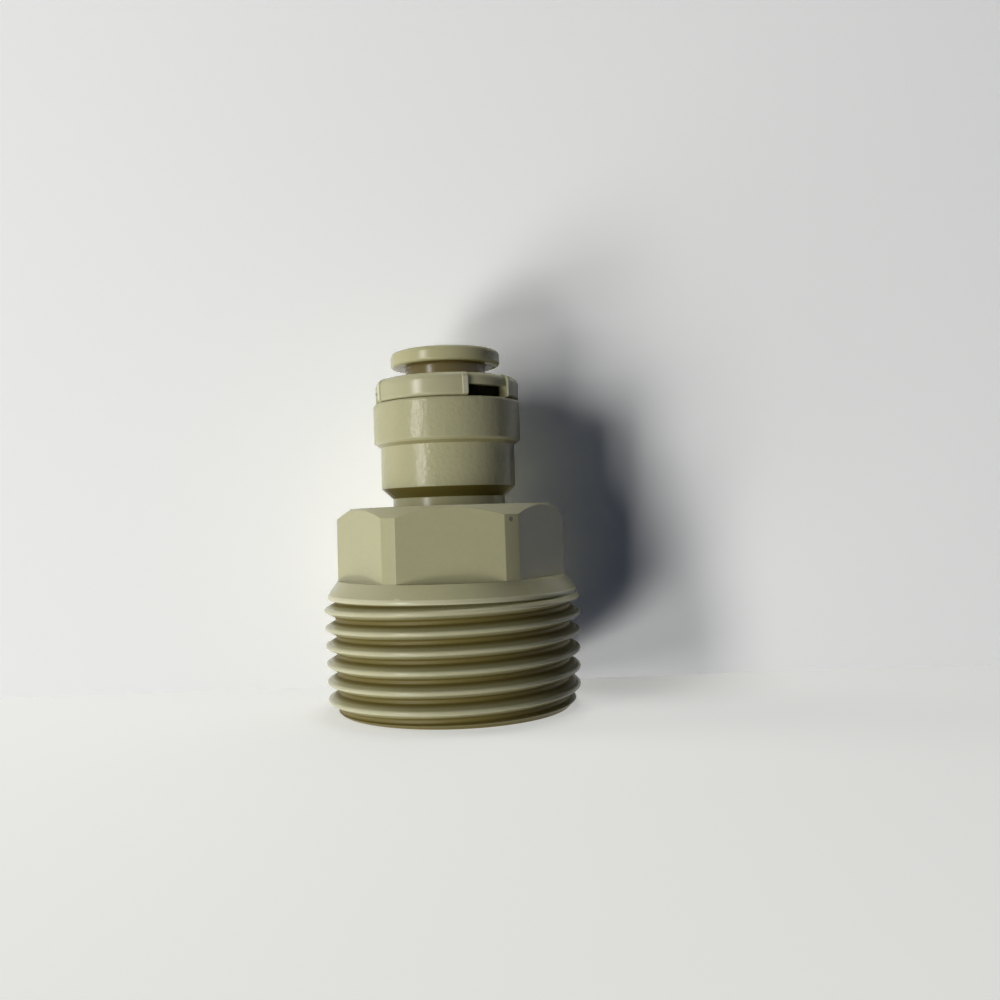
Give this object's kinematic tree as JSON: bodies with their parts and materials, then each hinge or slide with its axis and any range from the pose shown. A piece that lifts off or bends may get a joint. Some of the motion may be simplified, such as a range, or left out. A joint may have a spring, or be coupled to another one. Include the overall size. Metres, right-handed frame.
{
  "type": "threaded tube connector",
  "caption": "Straight push-in tube connector: pipe thread, hexagon, round socket body, retaining cap and a sliding collet that grips the tube.",
  "frame": {"origin": "centre of the thread's end face, which the connector stands on", "axes": "+Z along the common axis of thread and tube socket, towards the socket's mouth; -Y is the front, square to one flat of the hexagon"},
  "size_m": [0.0267, 0.0267, 0.037],
  "materials": {
    "body_plastic": "fine matte moulded acetal, grey beige",
    "cap_plastic": "smooth satin moulded acetal, grey beige",
    "collet_plastic": "smooth satin moulded acetal, grey beige",
    "seal_rubber": "smooth black nitrile rubber",
    "tooth_steel": "plain stamped stainless steel"
  },
  "bodies": {
    "fitting": {"fitting_body": "body_plastic", "retaining_cap": "cap_plastic", "seal_ring": "seal_rubber", "seal_washer": "cap_plastic"},
    "collet": {"collet": "collet_plastic", "collet_tooth_1": "tooth_steel", "collet_tooth_2": "tooth_steel", "collet_tooth_3": "tooth_steel", "collet_tooth_4": "tooth_steel"}
  },
  "joints": [
    {"name": "collet_slide", "type": "slide", "parent": "fitting", "child": "collet", "axis": [0, 0, -1], "range_m": [0, 0.0013]}
  ]
}
